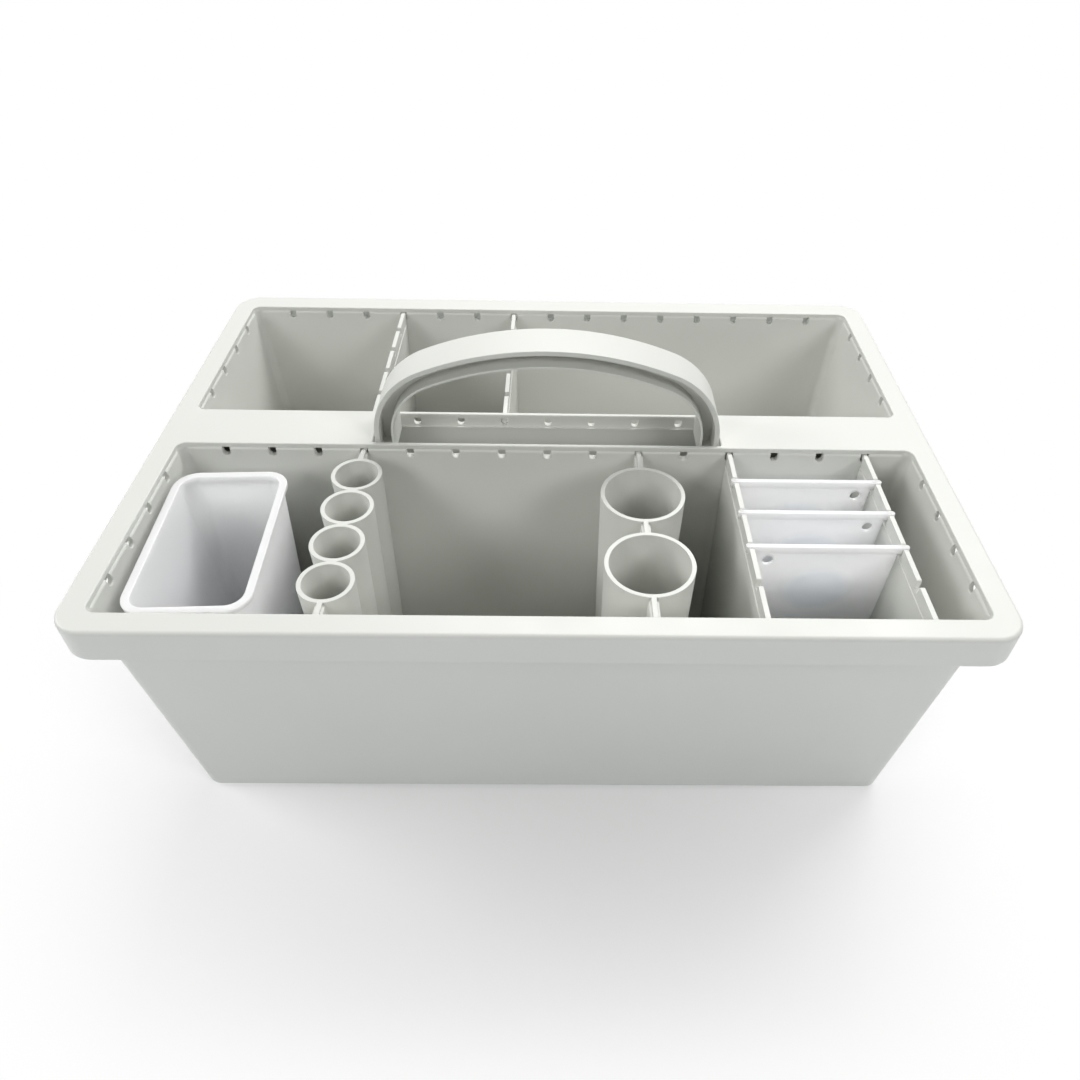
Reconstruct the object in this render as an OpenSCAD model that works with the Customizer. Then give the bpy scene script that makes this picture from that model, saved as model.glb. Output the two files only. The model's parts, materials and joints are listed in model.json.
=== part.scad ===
// Carry caddy for hobby tools: a two-pocket tray with a drop-down handle,
// snap-in dividers and tube holders, and lift-out cross dividers and cup.
// Millimetres, +Z up. Origin: middle of the base. Front is -Y.

/* [Tray] */
// Width of the rim, left to right
rim_w = 400; // [380:5:460]
// Depth of the rim, front to back
rim_d = 285; // [280:1:320]
// Height of the tray, base to top of the rim
tray_h = 147; // [120:1:180]
// Width of the land in front of the front pocket's opening
front_land = 11.5; // [10.5:0.5:14]
// Width of the land behind the rear pocket's opening
back_land = 13.9; // [10.5:0.1:18]
// Width of the land beside each pocket's opening
side_land = 11.8; // [10.5:0.1:14]
// Width of the bridge between the pockets, across its top
bridge_w = 30.1; // [29.5:0.1:34]
// Front-to-back length of the front pocket's opening in the rim
front_pocket_d = 115.5; // [112:0.5:118]
// How far each wall leans in, from rim to base
base_inset = 10.3; // [8:0.1:12]
// Wall thickness of the tray
wall_t = 2.3; // [1.6:0.1:2.6]
// Thickness of the pocket floors
floor_t = 2.6; // [2:0.1:5]
// Thickness of the rim plate
rim_t = 2.4; // [1.8:0.1:3]
// Height of the skirt that hangs from the rim
skirt_h = 17; // [12:0.5:24]
// Corner radius of the rim, seen from above
rim_corner_r = 14; // [8:1:22]
// Radius of the rounded top edge of the rim
rim_edge_r = 2; // [0.5:0.1:2.2]
// Inside corner radius of the pockets
pocket_corner_r = 4.5; // [3:0.5:7]
// How far the pocket walls stand in from the openings in the rim, as a chamfered ledge
wall_step = 0.7; // [0.3:0.1:0.9]
// Chamfer around the base
base_edge = 1.5; // [0.5:0.1:2]
// Depth of the recess under each pocket, inside its foot rim
foot_recess = 0.9; // [0.4:0.1:1.5]
// Width of the foot rim
foot_w = 5; // [3:0.5:9]

/* [Notches] */
// Spacing of the notches in every pocket wall
notch_pitch = 23.5; // [21:0.5:25]
// Width of a notch
notch_w = 3.9; // [3.3:0.1:4.4]
// Height of a notch below the rim plate
notch_h = 4.6; // [4.2:0.1:6]

/* [Handle] */
// Outside width of the handle across its legs
handle_w = 177.4; // [150:0.2:190]
// Height of the handle's crown above the rim when it is raised
handle_rise = 53; // [40:0.2:60]
// Radius of the crown's outer arc
crown_r = 164; // [150:1:260]
// Radius of the outer arc between crown and leg
shoulder_r = 41; // [20:1:50]
// Thickness of the handle's I section, outside face to inside face
handle_t = 10; // [6:0.2:12]
// Gap between handle and slot, front and back
handle_gap = 1.7; // [0.4:0.1:2.5]
// Thickness of the outer flange, which the palm carries
outer_flange_t = 2.7; // [1.4:0.1:3.2]
// Thickness of the inner flange
inner_flange_t = 1.4; // [1:0.1:2]
// Thickness of the web between the flanges
handle_web_t = 2.2; // [1.4:0.1:4]
// Gap between each leg and the end of the slot
slot_end_gap = 1.2; // [0.8:0.1:3]
// How far each foot reaches past its leg, under the bridge
foot_reach = 4.5; // [4:0.1:8]
// Height of the feet
foot_h = 5; // [3:0.5:8]
// How far the handle drops before its feet meet their stops
handle_drop = 50; // [40:1:60]
// Height of the stops
stop_h = 5; // [3:0.5:8]
// Depth below the rim of the ledges that guide the handle in its slot
guide_drop = 7.6; // [7:0.2:12]
// Height of the taper under each of these ledges
guide_taper_h = 14; // [8:1:30]

/* [Snap-in plates] */
// Depth of the inserts' top edges below the rim
insert_drop = 2.5; // [2.5:0.1:6]
// Thickness of a snap-in plate above its shoulder
plate_t = 2.4; // [1.8:0.1:2.6]
// Thickness of a snap-in plate below its shoulder
plate_low_t = 3.2; // [2.7:0.1:4.5]
// Depth of the shoulder below the rim
shoulder_drop = 9.5; // [9:0.5:16]
// Thickness of a tube holder's plate below its ledges
link_t = 4.5; // [3:0.1:5]
// Height of a tube holder's strip above its ledges
ledge_step = 1.5; // [1:0.5:6]
// How far a snap tab reaches into its notch
tab_reach = 1.9; // [1:0.1:2]
// Gap around what stands or hangs in a pocket
fit_gap = 0.35; // [0.3:0.05:0.5]

/* [Cross dividers] */
// Thickness of a cross divider's panel
cross_t = 1.8; // [1.2:0.1:2.2]
// Thickness of its top bar
bar_t = 2.6; // [2.3:0.1:3.2]
// Height of its top bar
bar_h = 4; // [3:0.1:6]
// Radius of the round end of the bar
bar_end_r = 1.5; // [1.3:0.1:1.6]
// How far the bar reaches past the dividers that carry it
bar_reach = 1.2; // [1.2:0.1:4]
// Gap on each side of the bar in its slot
slot_gap = 0.5; // [0.5:0.1:0.9]
// Rounding of the slot's mouth
slot_mouth_r = 0.8; // [0.4:0.1:1.2]
// How far each side edge of the panel leans in, top to bottom
cross_inset = 4; // [0:0.5:8]
// Height of the space below a cross divider
cross_lift = 12; // [4:1:60]
// Radius of the hanging hole
hang_hole_r = 2.6; // [1.5:0.1:3]
// Distance of the hanging hole from the panel's middle
hang_hole_x = 26.2; // [24:0.1:27]
// Depth of the hanging hole below the panel's top
hang_hole_drop = 8.8; // [8:0.1:13]
// Length of the oval dish
dish_w = 38; // [36:1:44]
// Height of the oval dish
dish_h = 32; // [24:1:34]
// Depth of the oval dish's middle below the panel's top
dish_drop = 29; // [28:1:40]
// Depth of the oval dish
dish_t = 0.7; // [0.3:0.1:0.9]

/* [Tube holders] */
// Bore radius of a small tube at its mouth
small_bore_r = 10.4; // [8:0.1:11]
// Outside radius of a small tube's foot
small_foot_r = 9.7; // [8.5:0.1:10.5]
// Bore radius of a large tube at its mouth
large_bore_r = 18.5; // [15:0.1:21]
// Outside radius of a large tube's foot
large_foot_r = 19.2; // [16:0.1:20.5]
// Gap between the large tubes' feet and the pocket walls
large_wall_gap = 3.6; // [2:0.1:5]
// Wall thickness of the tubes
tube_wall = 2.1; // [1.4:0.1:2.6]
// Thickness of the tubes' floors
tube_floor = 2.2; // [1.4:0.1:4]

/* [Cup] */
// Width of the cup below its lip, left to right
cup_w = 51; // [44:0.5:56]
// Depth of the cup below its lip, front to back
cup_d = 89.5; // [70:0.5:94]
// How far each cup wall leans in, lip to foot
cup_inset = 5.6; // [4.5:0.1:7]
// Wall thickness of the cup
cup_wall = 1.6; // [1.2:0.1:2.4]
// Thickness of the cup's floor
cup_floor = 2; // [1.2:0.1:4]
// How far the lip stands out
cup_lip = 2.2; // [1:0.1:2.6]
// Height of the lip
cup_lip_h = 2.6; // [1.6:0.1:5]
// Depth of the cup's top below the rim
cup_drop = 4.5; // [3:0.5:12]
// Corner radius of the cup
cup_corner_r = 9; // [6:0.5:14]
// How far the cup stands turned in its pocket, in degrees
cup_turn = 2.6; // [-4:0.1:4]
// Gap between the cup's foot and the pocket's left wall
cup_side_gap = 2.9; // [0.4:0.1:8]

/* [Hidden] */
$fn = 48;
corner_steps = 8;                 // facets in a quarter turn of the drafted corners
dish_steps = 8;                   // rings of the dish's rounded section
over = 1;                         // how far a cut runs past the face it opens
body_color = [0.86, 0.855, 0.835];
insert_color = [0.94, 0.95, 0.965];

// Heights
rim_under_z = tray_h - rim_t;
shoulder_z = tray_h - shoulder_drop;
insert_top_z = tray_h - insert_drop;
insert_foot_z = floor_t + fit_gap;
function lean(z) = base_inset * (tray_h - z) / tray_h;
notch_r = notch_w / 2;
notch_bottom_z = rim_under_z - notch_h;

// Plan of the pocket walls, carried up to rim level
pocket_x = rim_w / 2 - side_land - wall_step;
front_y0 = -rim_d / 2 + front_land + wall_step;
front_y1 = front_y0 + front_pocket_d - 2 * wall_step;
rear_y0 = front_y1 + bridge_w + 2 * wall_step;
rear_y1 = rim_d / 2 - back_land - wall_step;
bridge_y = (front_y1 + rear_y0) / 2;
front_pocket = [front_y0, front_y1];
rear_pocket = [rear_y0, rear_y1];
outer_corner_r = pocket_corner_r + wall_t;

// Handle slot and handle
slot_y0 = front_y1 + wall_step + wall_t;
slot_y1 = rear_y0 - wall_step - wall_t;
slot_corner_r = 1.5;
handle_depth = slot_y1 - slot_y0 - 2 * handle_gap;
slot_x = handle_w / 2 + slot_end_gap;
crown_z = tray_h + handle_rise - crown_r;
shoulder_x = handle_w / 2 - shoulder_r;
shoulder_z0 = crown_z + sqrt(pow(crown_r - shoulder_r, 2) - pow(shoulder_x, 2));
leg_end_z = rim_under_z - fit_gap - foot_h;
stop_z = leg_end_z - handle_drop - fit_gap;
guide_z = tray_h - guide_drop;
guide_w = handle_gap + lean(guide_z) - fit_gap;

// Notch places: four down each side wall, and across each long wall as many
// either side of the middle as leave room for a plate at the outermost
outer_notch = floor((pocket_x - lean(insert_foot_z) - plate_low_t / 2 - fit_gap) / notch_pitch);
long_notches = [for (i = [-outer_notch:outer_notch]) i * notch_pitch];
side_notches = [for (i = [-1.5:1.5]) i * notch_pitch];

// Snap-in plates stand at these notches, counted from the middle one
small_tubes_x = (3 - outer_notch) * notch_pitch;
large_tubes_x = 2 * notch_pitch;
front_left_x = (outer_notch - 3) * notch_pitch;
front_right_x = outer_notch * notch_pitch;
rear_left_x = -4 * notch_pitch;
rear_right_x = -notch_pitch;

// Slots in the dividers for the cross dividers
cross_slot_w = bar_t + 2 * slot_gap;
bar_foot_z = insert_top_z - bar_h;
cross_slot_z = bar_foot_z - fit_gap;
bar_end_x = (front_right_x - front_left_x + plate_t) / 2 + bar_reach - bar_end_r;
panel_half_w = (front_right_x - front_left_x - plate_low_t) / 2 - 2 * fit_gap;
cross_foot_z = floor_t + cross_lift;

// Tube rows, fitted to the pocket's length at the floor
floor_half_d = (front_y1 - front_y0) / 2 - lean(insert_foot_z);
front_mid_y = (front_y0 + front_y1) / 2;
small_row = floor_half_d - fit_gap - small_foot_r;
small_tube_y = [for (i = [-1, -1 / 3, 1 / 3, 1]) front_mid_y + i * small_row];
large_row = floor_half_d - large_wall_gap - large_foot_r;
large_tube_y = [front_mid_y - large_row, front_mid_y + large_row];

// Cup, turned a little in the front left corner of the front pocket.
// Its foot clears the front wall by fit_gap and the left wall by cup_side_gap.
cup_foot_z = floor_t + fit_gap;
cup_top_z = tray_h - cup_drop;
cup_half = [cup_w, cup_d] / 2;
cup_straight = cup_half - (cup_inset + cup_corner_r) * [1, 1];
cup_reach = cos(cup_turn) * cup_straight
    + abs(sin(cup_turn)) * [cup_straight.y, cup_straight.x] + cup_corner_r * [1, 1];
cup_x = -pocket_x + lean(cup_foot_z) + cup_side_gap + cup_reach.x;
cup_y = front_y0 + lean(cup_foot_z) + fit_gap + cup_reach.y;

// Rectangle with round corners
module round_rect(x0, x1, y0, y1, r) {
    translate([x0 + r, y0]) square([x1 - x0 - 2 * r, y1 - y0]);
    translate([x0, y0 + r]) square([x1 - x0, y1 - y0 - 2 * r]);
    for (x = [x0 + r, x1 - r], y = [y0 + r, y1 - r])
        translate([x, y]) circle(r);
}

// Outline of a rectangle with round corners and half sizes h, counter-clockwise
function round_outline(h, r) = [for (q = [0:3], i = [0:corner_steps])
    let (a = 90 * (q + i / corner_steps), s = [q == 0 || q == 3 ? 1 : -1, q < 2 ? 1 : -1])
    [s.x * (h.x - r) + r * cos(a), s.y * (h.y - r) + r * sin(a)]];

// Drafted block: half sizes low at z0 and high at z1, corner radius r
module draft_block(low, high, z0, z1, r) {
    foot = round_outline(low, r);
    top = round_outline(high, r);
    n = len(foot);
    polyhedron(
        concat([for (p = foot) [p.x, p.y, z0]], [for (p = top) [p.x, p.y, z1]]),
        concat([[for (i = [0:n - 1]) i], [for (i = [n - 1:-1:0]) n + i]],
            [for (i = [0:n - 1]) [i, n + i, n + (i + 1) % n, (i + 1) % n]]));
}

// Block between two heights whose sides lean by the wall's draft.
// The rectangle is the one at rim level; side is -1 where the block widens downward in Y.
module leaning_block(x, y0, y1, z0, z1, r, side) {
    half = [x, (y1 - y0) / 2];
    translate([0, (y0 + y1) / 2, 0])
        draft_block(half - lean(z0) * [1, side], half - lean(z1) * [1, side], z0, z1, r);
}

// Rim block: upright sides, round top edge
module rim_block() {
    hull() for (sx = [-1, 1], sy = [-1, 1])
        translate([sx * (rim_w / 2 - rim_corner_r), sy * (rim_d / 2 - rim_corner_r), 0])
            rotate_extrude() {
                translate([0, tray_h - skirt_h]) square([rim_corner_r, skirt_h - rim_edge_r]);
                translate([0, tray_h - skirt_h]) square([rim_corner_r - rim_edge_r, skirt_h]);
                translate([rim_corner_r - rim_edge_r, tray_h - rim_edge_r]) circle(rim_edge_r);
            }
}

// Hollow inside the skirt
module skirt_hollow() {
    translate([0, 0, tray_h - skirt_h - over]) linear_extrude(skirt_h - rim_t + over)
        round_rect(-rim_w / 2 + wall_t, rim_w / 2 - wall_t, -rim_d / 2 + wall_t,
            rim_d / 2 - wall_t, rim_corner_r - wall_t);
}

// Pocket; its walls end in a chamfer at the wider opening in the rim plate
module pocket(y) {
    function half(z) = [pocket_x, (y[1] - y[0]) / 2] - lean(z) * [1, 1];
    opening = half(tray_h) + wall_step * [1, 1];
    step_z = rim_under_z - wall_step;
    translate([0, (y[0] + y[1]) / 2, 0]) {
        draft_block(half(floor_t), half(step_z), floor_t, step_z, pocket_corner_r);
        draft_block(half(step_z), opening, step_z, rim_under_z, pocket_corner_r);
        draft_block(opening, opening, rim_under_z, tray_h + over, pocket_corner_r);
    }
}

// Outside of the walls, with a chamfer around the base
module wall_block() {
    half = [pocket_x + wall_t, (rear_y1 - front_y0) / 2 + wall_t];
    foot = half - (lean(0) + base_edge) * [1, 1];
    edge = half - lean(base_edge) * [1, 1];
    top_z = tray_h - rim_t / 2;
    translate([0, (front_y0 + rear_y1) / 2, 0]) {
        draft_block(foot, edge, 0, base_edge, outer_corner_r);
        draft_block(edge, half - lean(top_z) * [1, 1], base_edge, top_z, outer_corner_r);
    }
}

// Space between the pockets, open below; its walls step in at the ledges
module bridge_hollow() {
    taper_z = guide_z - guide_taper_h;
    function half(z) = [pocket_x - lean(z), (slot_y1 - slot_y0) / 2 + lean(z)];
    translate([0, bridge_y, 0]) {
        draft_block(half(guide_z), half(rim_under_z), guide_z, rim_under_z, slot_corner_r);
        draft_block(half(taper_z) + [0, wall_step], half(guide_z) - [0, guide_w],
            taper_z, guide_z + over, slot_corner_r);
        draft_block(half(-over) + [0, wall_step], half(taper_z) + [0, wall_step],
            -over, taper_z, slot_corner_r);
    }
}

module handle_slot() {
    translate([0, 0, rim_under_z - over]) linear_extrude(rim_t + 2 * over)
        round_rect(-slot_x, slot_x, slot_y0, slot_y1, slot_corner_r);
}

// Bars across the bridge's hollow, on which the lowered handle stands
module handle_stops() {
    bar_d = slot_y1 - slot_y0 + 2 * (lean(stop_z) + wall_step) + wall_t;
    for (sx = [-1, 1]) translate([sx * (handle_w - handle_t) / 2, bridge_y, stop_z - stop_h / 2])
        cube([handle_t, bar_d, stop_h], center = true);
}

// Outline of one notch: flat top, half-round bottom
module notch_outline() {
    translate([-notch_r, notch_bottom_z + notch_r]) square([notch_w, notch_h - notch_r]);
    translate([0, notch_bottom_z + notch_r]) circle(notch_r);
}

// A notch through the wall at y, cut along Y
module long_notch(x, y) {
    translate([x, y, 0]) rotate([90, 0, 0])
        linear_extrude(2 * (wall_t + over), center = true) notch_outline();
}

// A notch through the wall at x, cut along X
module side_notch(x, y) {
    translate([x, y, 0]) rotate([90, 0, 90])
        linear_extrude(2 * (wall_t + over), center = true) notch_outline();
}

module pocket_notches(y) {
    for (x = long_notches, wall_y = [y[0] - wall_t / 2, y[1] + wall_t / 2]) long_notch(x, wall_y);
    for (dy = side_notches, sx = [-1, 1])
        side_notch(sx * (pocket_x + wall_t / 2), (y[0] + y[1]) / 2 + dy);
}

// Shallow recess under a pocket, which leaves a foot rim
module base_recess(y) {
    in = lean(0) - wall_t + foot_w;
    translate([0, 0, -over]) linear_extrude(over + foot_recess)
        round_rect(-pocket_x + in, pocket_x - in, y[0] + in, y[1] - in, pocket_corner_r);
}

module tray() {
    color(body_color) {
        difference() {
            union() {
                difference() {
                    rim_block();
                    skirt_hollow();
                }
                wall_block();
            }
            pocket(front_pocket);
            pocket(rear_pocket);
            bridge_hollow();
            handle_slot();
            pocket_notches(front_pocket);
            pocket_notches(rear_pocket);
            base_recess(front_pocket);
            base_recess(rear_pocket);
        }
        handle_stops();
    }
}

// Area inside the handle's outline, taken in by t all round, down to z0
module arch_area(t, z0) {
    half_w = handle_w / 2 - t;
    reach = 2 * crown_r / (shoulder_z0 - crown_z);
    intersection() {
        translate([-half_w, z0]) square([2 * half_w, 2 * crown_r]);
        union() {
            translate([-half_w, z0]) square([2 * half_w, shoulder_z0 - z0]);
            for (sx = [-1, 1]) translate([sx * shoulder_x, shoulder_z0]) circle(shoulder_r - t);
            intersection() {
                translate([0, crown_z]) circle(crown_r - t, $fn = 4 * $fn);
                polygon([[0, crown_z],
                    [shoulder_x * reach, crown_z + 2 * crown_r],
                    [-shoulder_x * reach, crown_z + 2 * crown_r]]);
            }
        }
    }
}

// Band of the arch between two insets, w wide in Y
module arch_band(t0, t1, w) {
    translate([0, bridge_y, 0]) rotate([90, 0, 0]) linear_extrude(w, center = true)
        difference() {
            arch_area(t0, leg_end_z, $fn = 96);
            arch_area(t1, leg_end_z - over, $fn = 96);
        }
}

module handle() {
    color(body_color) {
        arch_band(0, outer_flange_t, handle_depth);
        arch_band(handle_t - inner_flange_t, handle_t, handle_depth);
        arch_band(outer_flange_t / 2, handle_t - inner_flange_t / 2, handle_web_t);
        for (sx = [-1, 1]) {
            translate([sx * (handle_w - handle_t) / 2, bridge_y, leg_end_z + outer_flange_t / 2])
                cube([handle_t, handle_depth, outer_flange_t], center = true);
            translate([sx * (handle_w + foot_reach) / 2, bridge_y, leg_end_z + foot_h / 2])
                cube([foot_reach, handle_depth, foot_h], center = true);
        }
    }
}

// Side view of a plate that fills a pocket from wall to wall, between two heights
module plate_outline(y, z0, z1) {
    polygon([
        [y[0] + fit_gap + lean(z0), z0],
        [y[1] - fit_gap - lean(z0), z0],
        [y[1] - fit_gap - lean(z1), z1],
        [y[0] + fit_gap + lean(z1), z1]]);
}

// Tab that springs into a notch; side is -1 at the front end and 1 at the back
module snap_tab(wall_y, side) {
    tab_len = tab_reach + fit_gap + notch_h / 2;
    tab_r = plate_t / 2;
    tab_h = notch_h - 2 * fit_gap;
    z0 = notch_bottom_z + notch_r - tab_r;
    translate([0, wall_y + side * (tab_reach - tab_len / 2), 0]) rotate([90, 0, 0])
        linear_extrude(tab_len, center = true) {
            translate([-tab_r, z0 + tab_r]) square([plate_t, rim_under_z - fit_gap - z0 - tab_r]);
            translate([0, z0 + tab_r]) circle(tab_r);
        }
}

// Plate that snaps into one pair of notches, low_t thick up to low_z
module snap_plate(y, low_t, low_z) {
    rotate([90, 0, 90]) linear_extrude(plate_t, center = true)
        plate_outline(y, insert_foot_z, insert_top_z);
    rotate([90, 0, 90]) linear_extrude(low_t, center = true)
        plate_outline(y, insert_foot_z, low_z);
    snap_tab(y[0], -1);
    snap_tab(y[1], 1);
}

// Side view of an open slot with a rounded mouth
module slot_outline() {
    half_w = cross_slot_w / 2 + slot_mouth_r;
    translate([-cross_slot_w / 2, cross_slot_z])
        square([cross_slot_w, insert_top_z - cross_slot_z + over]);
    difference() {
        translate([-half_w, insert_top_z - slot_mouth_r]) square([2 * half_w, slot_mouth_r + over]);
        for (sx = [-1, 1]) translate([sx * half_w, insert_top_z - slot_mouth_r]) circle(slot_mouth_r);
    }
}

// Divider with four open slots in its top edge
module notched_divider(x, y) {
    translate([x, 0, 0]) difference() {
        snap_plate(y, plate_low_t, shoulder_z);
        for (dy = side_notches)
            translate([0, (y[0] + y[1]) / 2 + dy, 0]) rotate([90, 0, 90])
                linear_extrude(2 * plate_low_t, center = true) slot_outline();
    }
}

// Row of tubes on a snap-in plate
module tube_holder(x, rows, bore_r, foot_r) {
    top_r = bore_r + tube_wall;
    tube_h = insert_top_z - insert_foot_z;
    translate([x, 0, 0]) difference() {
        union() {
            snap_plate(front_pocket, link_t, insert_top_z - ledge_step);
            for (y = rows) translate([0, y, insert_foot_z]) cylinder(tube_h, foot_r, top_r);
        }
        for (y = rows) translate([0, y, insert_foot_z + tube_floor])
            cylinder(tube_h - tube_floor, foot_r - tube_wall, bore_r);
    }
}

module four_tube_holder() {
    color(body_color) tube_holder(small_tubes_x, small_tube_y, small_bore_r, small_foot_r);
}

module two_tube_holder() {
    color(body_color) tube_holder(large_tubes_x, large_tube_y, large_bore_r, large_foot_r);
}

module front_divider_left() {
    color(body_color) notched_divider(front_left_x, front_pocket);
}

module front_divider_right() {
    color(body_color) notched_divider(front_right_x, front_pocket);
}

module rear_divider_left() {
    color(body_color) notched_divider(rear_left_x, rear_pocket);
}

module rear_divider_right() {
    color(body_color) notched_divider(rear_right_x, rear_pocket);
}

// Cut for the shallow dish: two round hollows side by side, deepest in the middle
module dish_cut() {
    r = dish_h / 2;
    function depth(i) = dish_t * (1 + cos(180 * i / dish_steps)) / 2;
    for (sx = [-1, 1]) translate([sx * (dish_w / 2 - r), 0, 0]) rotate_extrude()
        polygon(concat([[0, over]],
            [for (i = [0:dish_steps]) [r * i / dish_steps, -depth(i)]], [[r, over]]));
}

// Cross divider in its own frame: middle of the top bar at the origin, front face towards -Y.
// hand is 1 with the hanging hole at the right and -1 with it at the left.
module cross_divider(hand) {
    drop = cross_foot_z - insert_top_z;
    difference() {
        union() {
            rotate([90, 0, 0]) linear_extrude(cross_t, center = true)
                polygon([[-panel_half_w, 0], [panel_half_w, 0],
                    [panel_half_w - cross_inset, drop], [-panel_half_w + cross_inset, drop]]);
            translate([-bar_end_x, -bar_t / 2, -bar_h]) cube([2 * bar_end_x, bar_t, bar_h]);
            for (sx = [-1, 1]) translate([sx * bar_end_x, 0, -bar_h])
                cylinder(bar_h, bar_end_r, bar_end_r);
        }
        translate([hand * hang_hole_x, 0, -hang_hole_drop]) rotate([90, 0, 0])
            cylinder(2 * bar_t, hang_hole_r, hang_hole_r, center = true);
        translate([0, -cross_t / 2, -dish_drop]) rotate([90, 0, 0]) dish_cut();
    }
}

// Cross divider hung in the front dividers' slots, k pitches from the middle of the pocket
module hung_cross_divider(k, hand) {
    color(insert_color)
        translate([(front_left_x + front_right_x) / 2, front_mid_y + k * notch_pitch, insert_top_z])
            cross_divider(hand);
}

module cross_divider_front() {
    hung_cross_divider(-0.5, -1);
}

module cross_divider_middle() {
    hung_cross_divider(0.5, 1);
}

module cross_divider_back() {
    hung_cross_divider(1.5, 1);
}

// Leaning box for the cup, grown by g
module cup_block(g, z0, z1) {
    function cup_lean(z) = cup_inset * (cup_top_z - z) / (cup_top_z - cup_foot_z) - g;
    draft_block(cup_half - cup_lean(z0) * [1, 1], cup_half - cup_lean(z1) * [1, 1], z0, z1,
        cup_corner_r + g);
}

module cup() {
    color(insert_color) translate([cup_x, cup_y, 0]) rotate(cup_turn) difference() {
        union() {
            cup_block(0, cup_foot_z, cup_top_z);
            cup_block(cup_lip, cup_top_z - cup_lip_h, cup_top_z);
        }
        cup_block(-cup_wall, cup_foot_z + cup_floor, cup_top_z + over);
    }
}

tray();
handle();
cup();
four_tube_holder();
two_tube_holder();
front_divider_left();
front_divider_right();
rear_divider_left();
rear_divider_right();
cross_divider_front();
cross_divider_middle();
cross_divider_back();
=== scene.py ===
import json
import math

import bmesh
import bpy
from mathutils import Matrix, Vector


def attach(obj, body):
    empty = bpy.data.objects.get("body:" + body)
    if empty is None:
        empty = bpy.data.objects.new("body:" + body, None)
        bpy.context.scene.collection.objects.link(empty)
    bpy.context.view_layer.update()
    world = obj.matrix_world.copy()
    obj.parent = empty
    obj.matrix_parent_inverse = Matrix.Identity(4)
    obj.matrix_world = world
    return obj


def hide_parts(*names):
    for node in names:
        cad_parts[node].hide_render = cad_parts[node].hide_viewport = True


# Hobby tool caddy: a moulded polypropylene tray with a drop-down handle, snap-in
# dividers and tube holders, three lift-out cross dividers and a lift-out cup.
# Metres; +Z up, the front faces -Y.

MM = 0.001

# Levels of the tray in millimetres
RIM_TOP_Z = 147
RIM_UNDER_Z = 144.6
NOTCHES_Z = 139  # just below the notches and ledges
SKIRT_FOOT_Z = 130
BASE_EDGE_Z = 1.6  # just above the base's edge
# Pocket sides of its walls at the rim's top, and how far they lean in on the way to z = 0
WALL_LEAN = 10.3
POCKET_X = 187.5
POCKETS_Y = ((-130.3, -16.2), (15.3, 127.9))
# Half sizes and middle of the foot outline, just inside it
FOOT_HALF = (176, 118)
FOOT_Y = -1.2
# Middle and half sizes (X, Z) of the oval in which a cross divider carries the painted shade of its
# dish
DISH_MIDDLE = (129.25, 116.5)
DISH_HALF = (20, 17)
# Turn of a surface, in degrees, from which its edge counts as sharp
SHARP = 32

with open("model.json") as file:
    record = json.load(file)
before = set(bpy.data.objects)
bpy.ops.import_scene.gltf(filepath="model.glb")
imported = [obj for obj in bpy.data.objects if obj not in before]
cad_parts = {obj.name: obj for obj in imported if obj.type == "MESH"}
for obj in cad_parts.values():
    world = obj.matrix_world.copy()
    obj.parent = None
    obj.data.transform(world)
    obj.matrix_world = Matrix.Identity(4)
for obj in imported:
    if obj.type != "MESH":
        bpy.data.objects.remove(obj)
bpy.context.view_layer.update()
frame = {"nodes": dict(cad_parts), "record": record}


# ---------------------------------------------------------------- materials

def linear(hex_color):
    """sRGB hex to linear RGBA."""
    def channel(c):
        return c / 12.92 if c <= 0.04045 else ((c + 0.055) / 1.055) ** 2.4
    return [channel(int(hex_color[i:i + 2], 16) / 255) for i in (1, 3, 5)] + [1.0]


def add(tree, kind, settings=None, links=None):
    """Adds a node. Settings name its sockets or its own properties, links feed its sockets."""
    node = tree.nodes.new(kind)
    for key, value in (settings or {}).items():
        if isinstance(key, str) and hasattr(node, key):
            setattr(node, key, value)
        else:
            node.inputs[key].default_value = value
    for key, source in (links or {}).items():
        tree.links.new(source, node.inputs[key])
    return node


def new_material(name):
    material = bpy.data.materials.new(name)
    material.use_nodes = True
    material.node_tree.nodes.clear()
    return material, material.node_tree


def painted_dish_shade_mask(tree, place):
    """Mask of the painted shade: 1 in the middle of a cross divider's dish, 0 outside it, on any of
    the panels.
    """
    (x, z), (half_w, half_h) = DISH_MIDDLE, DISH_HALF
    oval = add(tree, "ShaderNodeMapping",
               {"vector_type": "POINT", "Location": (-x / half_w, 0, -z / half_h),
                "Scale": (1 / (half_w * MM), 0, 1 / (half_h * MM))}, {"Vector": place})
    reach = add(tree, "ShaderNodeVectorMath", {"operation": "LENGTH"},
                {0: oval.outputs["Vector"]})
    return add(tree, "ShaderNodeMapRange",
               {"From Min": 1.08, "From Max": 0.55, "interpolation_type": "SMOOTHSTEP"},
               {"Value": reach.outputs["Value"]}).outputs["Result"]


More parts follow.
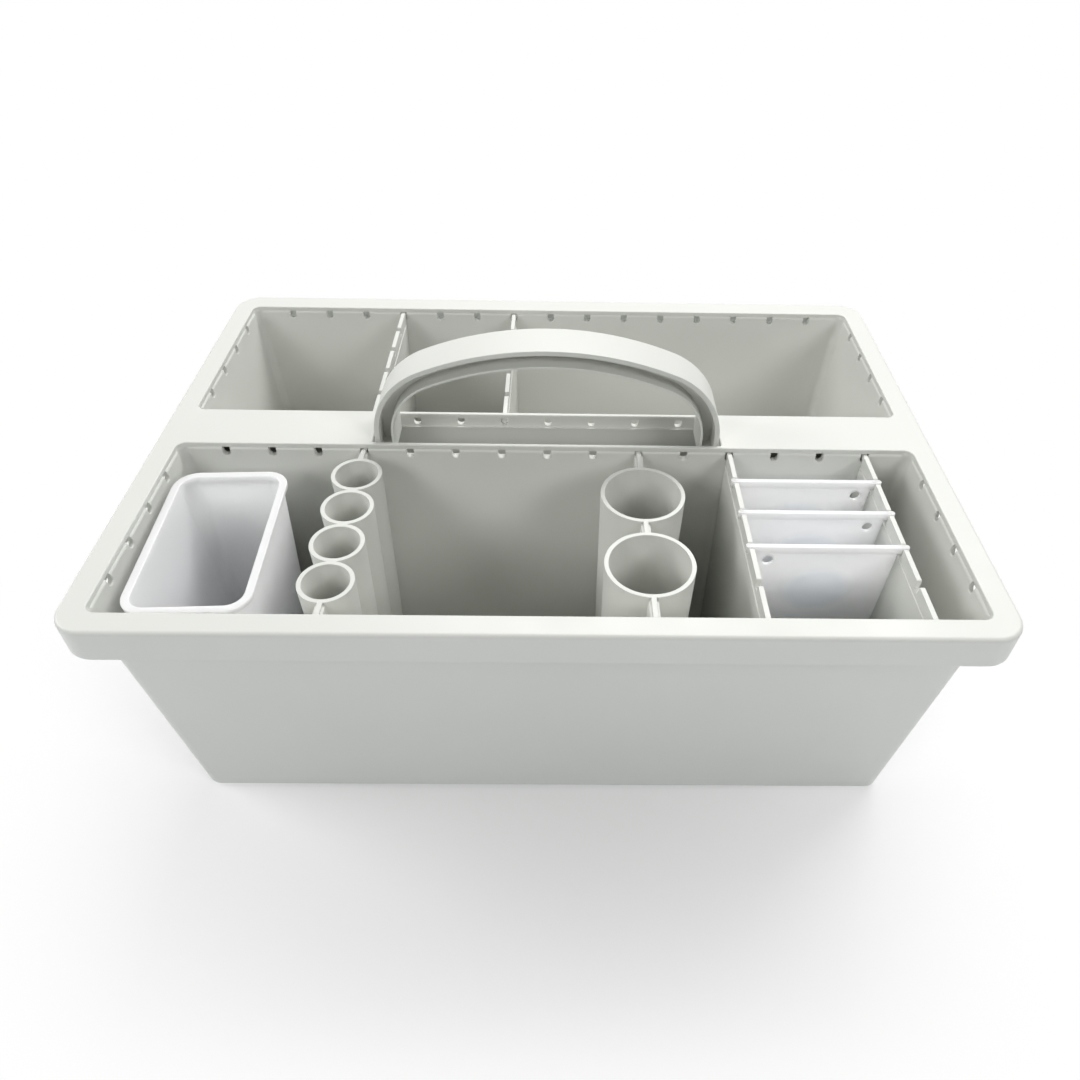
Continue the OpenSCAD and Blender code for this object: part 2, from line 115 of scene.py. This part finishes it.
def moulded_plastic(name, color, shade, roughness, subsurface, depth, dish_shade_tone=None):
    """Moulded polypropylene: flow clouding in the colour, spark-eroded grain and a
    gloss that is slightly uneven over the wall. subsurface lets light into it, depth deep.
    The tone given last is painted shade, laid over a cross divider's dish in place of the dish's
    own shading."""
    material, tree = new_material(name)
    place = add(tree, "ShaderNodeTexCoord").outputs["Object"]
    clouds = add(tree, "ShaderNodeTexNoise", {"Scale": 1 / (70 * MM), "Detail": 3.0},
                 {"Vector": place})
    tone = add(tree, "ShaderNodeMix", {"data_type": "RGBA", 6: linear(color), 7: linear(shade)},
               {0: clouds.outputs["Fac"]})
    # Painted shade: a blue-grey oval over a cross divider's dish stands in for the dish's shading
    if dish_shade_tone:
        tone = add(tree, "ShaderNodeMix", {"data_type": "RGBA", 7: linear(dish_shade_tone)},
                   {0: painted_dish_shade_mask(tree, place), 6: tone.outputs[2]})
    # Grain of the mould, 0.5 mm, drawn about as coarse as it shows
    grain = add(tree, "ShaderNodeTexNoise", {"Scale": 1 / (0.7 * MM), "Detail": 2.0},
                {"Vector": place})
    # Sink and flow waves of a thin wall, about 25 mm apart
    waves = add(tree, "ShaderNodeTexNoise", {"Scale": 1 / (25 * MM), "Detail": 1.0},
                {"Vector": place})
    sink = add(tree, "ShaderNodeBump", {"Strength": 0.12, "Distance": 0.4 * MM},
               {"Height": waves.outputs["Fac"]})
    skin = add(tree, "ShaderNodeBump", {"Strength": 0.10, "Distance": 0.03 * MM},
               {"Height": grain.outputs["Fac"], "Normal": sink.outputs["Normal"]})
    gloss = add(tree, "ShaderNodeMapRange",
                {"From Min": 0.3, "From Max": 0.7, "To Min": roughness - 0.04,
                 "To Max": roughness + 0.05},
                {"Value": waves.outputs["Fac"]})
    plastic = add(tree, "ShaderNodeBsdfPrincipled",
                  {"IOR": 1.49, "Subsurface Weight": subsurface, "Subsurface Scale": depth,
                   "Subsurface Radius": (1.0, 1.0, 1.0)},
                  {"Base Color": tone.outputs[2], "Roughness": gloss.outputs["Result"],
                   "Normal": skin.outputs["Normal"]})
    add(tree, "ShaderNodeOutputMaterial", links={"Surface": plastic.outputs["BSDF"]})
    return material


# Warm white body plastic, opaque at 2 mm
warm_white = moulded_plastic("moulded_polypropylene_warm_white", "#DFE0DB", "#DBDCD6", 0.42,
                             0.0, 1 * MM)
# Natural milk white plastic, which lets light through a 1.6 mm wall
milk_white = moulded_plastic("moulded_polypropylene_milk_white", "#FFFFFF", "#FAFCFF", 0.36,
                             1.0, 7 * MM)
# The same plastic on the cross dividers, with painted shade in their dish: a blue-grey oval that
# stands in for the dish's shading
milk_white_painted_dish_shade = moulded_plastic("moulded_polypropylene_milk_white_panel", "#FFFFFF",
                                   "#FAFCFF", 0.36, 1.0, 16 * MM, dish_shade_tone="#D6DDEA")


# ---------------------------------------------------------------- moulded pieces

def sharp_edges(bm, chosen):
    """Outward sharp edges whose end points satisfy chosen."""
    return [edge for edge in bm.edges
            if len(edge.link_faces) == 2 and edge.is_convex
            and edge.calc_face_angle(0) > math.radians(SHARP)
            and all(chosen(vert.co / MM) for vert in edge.verts)]


def round_edges(bm, chosen, radius, segments=2):
    bmesh.ops.bevel(bm, geom=sharp_edges(bm, chosen), offset=radius, offset_type="OFFSET",
                    segments=segments, profile=0.5, affect="EDGES", material=-1,
                    clamp_overlap=False, loop_slide=True)


def every_edge(place):
    return True


def tray_rounding(bm):
    """Rim openings, the skirt's lower edge, the base, and the walls' ledges and notches."""
    round_edges(bm, lambda p: p.z > RIM_TOP_Z - 0.5, 0.6 * MM, 3)
    round_edges(bm, lambda p: abs(p.z - SKIRT_FOOT_Z) < 0.1, 0.6 * MM)
    round_edges(bm, lambda p: p.z < BASE_EDGE_Z and outside_the_foot(p), 0.8 * MM)
    round_edges(bm, lambda p: NOTCHES_Z < p.z < RIM_UNDER_Z - 0.05 and faces_a_pocket(p),
                0.6 * MM)


def outside_the_foot(p):
    return abs(p.x) > FOOT_HALF[0] or abs(p.y - FOOT_Y) > FOOT_HALF[1]


def faces_a_pocket(p):
    """True on the pocket side of a notched wall."""
    lean = WALL_LEAN * (RIM_TOP_Z - p.z) / RIM_TOP_Z
    off_walls = [abs(p.x) - POCKET_X + lean]
    for front, back in POCKETS_Y:
        off_walls += [p.y - front - lean, p.y - back + lean]
    return min(abs(off) for off in off_walls) < 0.06


def moulded_copy(node, body, rounding, material):
    """A copy of a CAD node with its sharp edges rounded as a mould leaves them."""
    bm = bmesh.new()
    bm.from_mesh(frame["nodes"][node].data)
    bmesh.ops.remove_doubles(bm, verts=bm.verts, dist=0.02 * MM)
    # The underside stays in triangles: it has openings, round which a merged face would fold
    above = [edge for edge in bm.edges if max(vert.co.z for vert in edge.verts) > 0.1 * MM]
    bmesh.ops.dissolve_limit(bm, angle_limit=math.radians(0.6), verts=bm.verts, edges=above)
    rounding(bm)
    bmesh.ops.dissolve_degenerate(bm, dist=0.002 * MM, edges=bm.edges)
    mesh = bpy.data.meshes.new(node + "_moulded")
    bm.to_mesh(mesh)
    bm.free()
    mesh.shade_smooth()
    mesh.set_sharp_from_angle(angle=math.radians(SHARP))
    mesh.materials.clear()
    mesh.materials.append(material)
    piece = bpy.data.objects.new(node + "_moulded", mesh)
    bpy.context.scene.collection.objects.link(piece)
    # Flat walls stay flat up to the rounding beside them
    flat = piece.modifiers.new("flat walls", "WEIGHTED_NORMAL")
    flat.mode = "FACE_AREA"
    flat.weight = 90
    flat.keep_sharp = True
    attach(piece, body)
    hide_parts(node)
    return piece


def fine_rounding(bm):
    round_edges(bm, every_edge, 0.3 * MM)


def soft_rounding(bm):
    round_edges(bm, every_edge, 0.5 * MM)


ROUNDING = {"tray": tray_rounding, "handle": soft_rounding, "cup": soft_rounding}

for body_name, nodes in frame["record"]["behaviour"]["bodies"].items():
    for node_name in nodes:
        slot, finish = "body_plastic", warm_white
        if node_name == "cup":
            slot, finish = "insert_plastic", milk_white
        elif node_name.startswith("cross_divider"):
            slot, finish = "insert_plastic", milk_white_painted_dish_shade
        moulded_copy(node_name, body_name, ROUNDING.get(node_name, fine_rounding), finish)


# ---------------------------------------------------------------- floor, light and camera

def seen_directly(tree):
    """1 where a surface is seen straight on, in a reflection or through glass."""
    rays = add(tree, "ShaderNodeLightPath")
    mirrored = add(tree, "ShaderNodeMath", {"operation": "MAXIMUM"},
                   {0: rays.outputs["Is Camera Ray"], 1: rays.outputs["Is Glossy Ray"]})
    return add(tree, "ShaderNodeMath", {"operation": "MAXIMUM"},
               {0: mirrored.outputs[0], 1: rays.outputs["Is Transmission Ray"]}).outputs[0]


def white_floor():
    """A plain pale floor that keeps the caddy's soft shadow and reads white.
    Away from the caddy it is plain white, as a floor that is lit all over."""
    material, tree = new_material("white_paper_floor")
    paper = add(tree, "ShaderNodeBsdfDiffuse", {"Color": linear("#F0F3F8")})
    near = add(tree, "ShaderNodeBsdfDiffuse", {"Color": [1.0, 1.0, 1.0, 1.0]})
    far = add(tree, "ShaderNodeEmission", {"Color": [1.0, 1.0, 1.0, 1.0], "Strength": 1.0})
    place = add(tree, "ShaderNodeTexCoord").outputs["Object"]
    away = add(tree, "ShaderNodeVectorMath", {"operation": "LENGTH"}, {0: place})
    fade = add(tree, "ShaderNodeMapRange",
               {"From Min": 0.12, "From Max": 0.36, "interpolation_type": "SMOOTHSTEP"},
               {"Value": away.outputs["Value"]})
    seen = add(tree, "ShaderNodeMixShader",
               links={0: fade.outputs["Result"], 1: near.outputs[0], 2: far.outputs[0]})
    pick = add(tree, "ShaderNodeMixShader",
               links={0: seen_directly(tree), 1: paper.outputs[0], 2: seen.outputs[0]})
    add(tree, "ShaderNodeOutputMaterial", links={"Surface": pick.outputs[0]})
    bm = bmesh.new()
    bmesh.ops.create_grid(bm, x_segments=1, y_segments=1, size=6.0)
    mesh = bpy.data.meshes.new("floor")
    bm.to_mesh(mesh)
    bm.free()
    mesh.materials.append(material)
    floor = bpy.data.objects.new("floor", mesh)
    bpy.context.scene.collection.objects.link(floor)


def soft_world(strength):
    """A plain white room: it lights softly and the camera sees it white."""
    world = bpy.data.worlds.new("white_room")
    bpy.context.scene.world = world
    world.use_nodes = True
    tree = world.node_tree
    tree.nodes.clear()
    room = add(tree, "ShaderNodeBackground", {"Color": [1, 1, 1, 1], "Strength": strength})
    seen = add(tree, "ShaderNodeBackground", {"Color": [1, 1, 1, 1], "Strength": 1.0})
    pick = add(tree, "ShaderNodeMixShader",
               links={0: seen_directly(tree), 1: room.outputs[0], 2: seen.outputs[0]})
    add(tree, "ShaderNodeOutputWorld", links={"Surface": pick.outputs[0]})


# Name, place, width and depth in metres, and power in watts
SOFTBOXES = (
    ("back_softbox", (0.2, 1.0, 1.4), 1.2, 0.6, 17.8),
    ("back_right_softbox", (0.9, 0.6, 1.2), 0.6, 0.5, 6.0),
    ("front_right_softbox", (0.9, -0.8, 0.9), 0.5, 0.5, 5.8),
    ("front_left_softbox", (-0.8, -1.0, 0.9), 0.5, 0.5, 5.0),
    ("left_softbox", (-1.3, 0.1, 0.8), 0.6, 0.5, 7.8))


def softbox(name, place, width, depth, power):
    """A soft lamp that faces the middle of the caddy."""
    light = bpy.data.lights.new(name, "AREA")
    light.shape = "RECTANGLE"
    light.size = width
    light.size_y = depth
    light.energy = power
    lamp = bpy.data.objects.new(name, light)
    lamp.location = place
    lamp.rotation_euler = (Vector((0, 0, 0.05)) - Vector(place)).to_track_quat("-Z", "Y").to_euler()
    bpy.context.scene.collection.objects.link(lamp)


def camera():
    """Looks down at the caddy from 0.36 m in front of its middle and 0.41 m up."""
    pitch, yaw, roll = 0.744892, 0.0210981, 0.0242388
    focal_px, middle_px, image_px = 839.74, (569.82, 532.80), 1080
    ahead = Vector((math.sin(yaw), math.cos(yaw), 0))
    right = Vector((math.cos(yaw), -math.sin(yaw), 0))
    up = Vector((0, 0, 1))
    look = ahead * math.cos(pitch) - up * math.sin(pitch)
    top = ahead * math.sin(pitch) + up * math.cos(pitch)
    side = right * math.cos(roll) + top * math.sin(roll)
    top = -right * math.sin(roll) + top * math.cos(roll)
    data = bpy.data.cameras.new("camera")
    data.sensor_width = 36
    data.lens = focal_px / image_px * data.sensor_width
    data.shift_x = 0.5 - middle_px[0] / image_px
    data.shift_y = middle_px[1] / image_px - 0.5
    data.clip_start = 0.01
    seat = bpy.data.objects.new("camera", data)
    turn = Matrix((side, top, -look)).transposed().to_4x4()
    seat.matrix_world = Matrix.Translation(Vector((5.32, -362.04, 406.63)) * MM) @ turn
    bpy.context.scene.collection.objects.link(seat)
    bpy.context.scene.camera = seat


white_floor()
soft_world(0.06)
for box in SOFTBOXES:
    softbox(*box)
camera()
bpy.context.scene.view_settings.view_transform = "Standard"
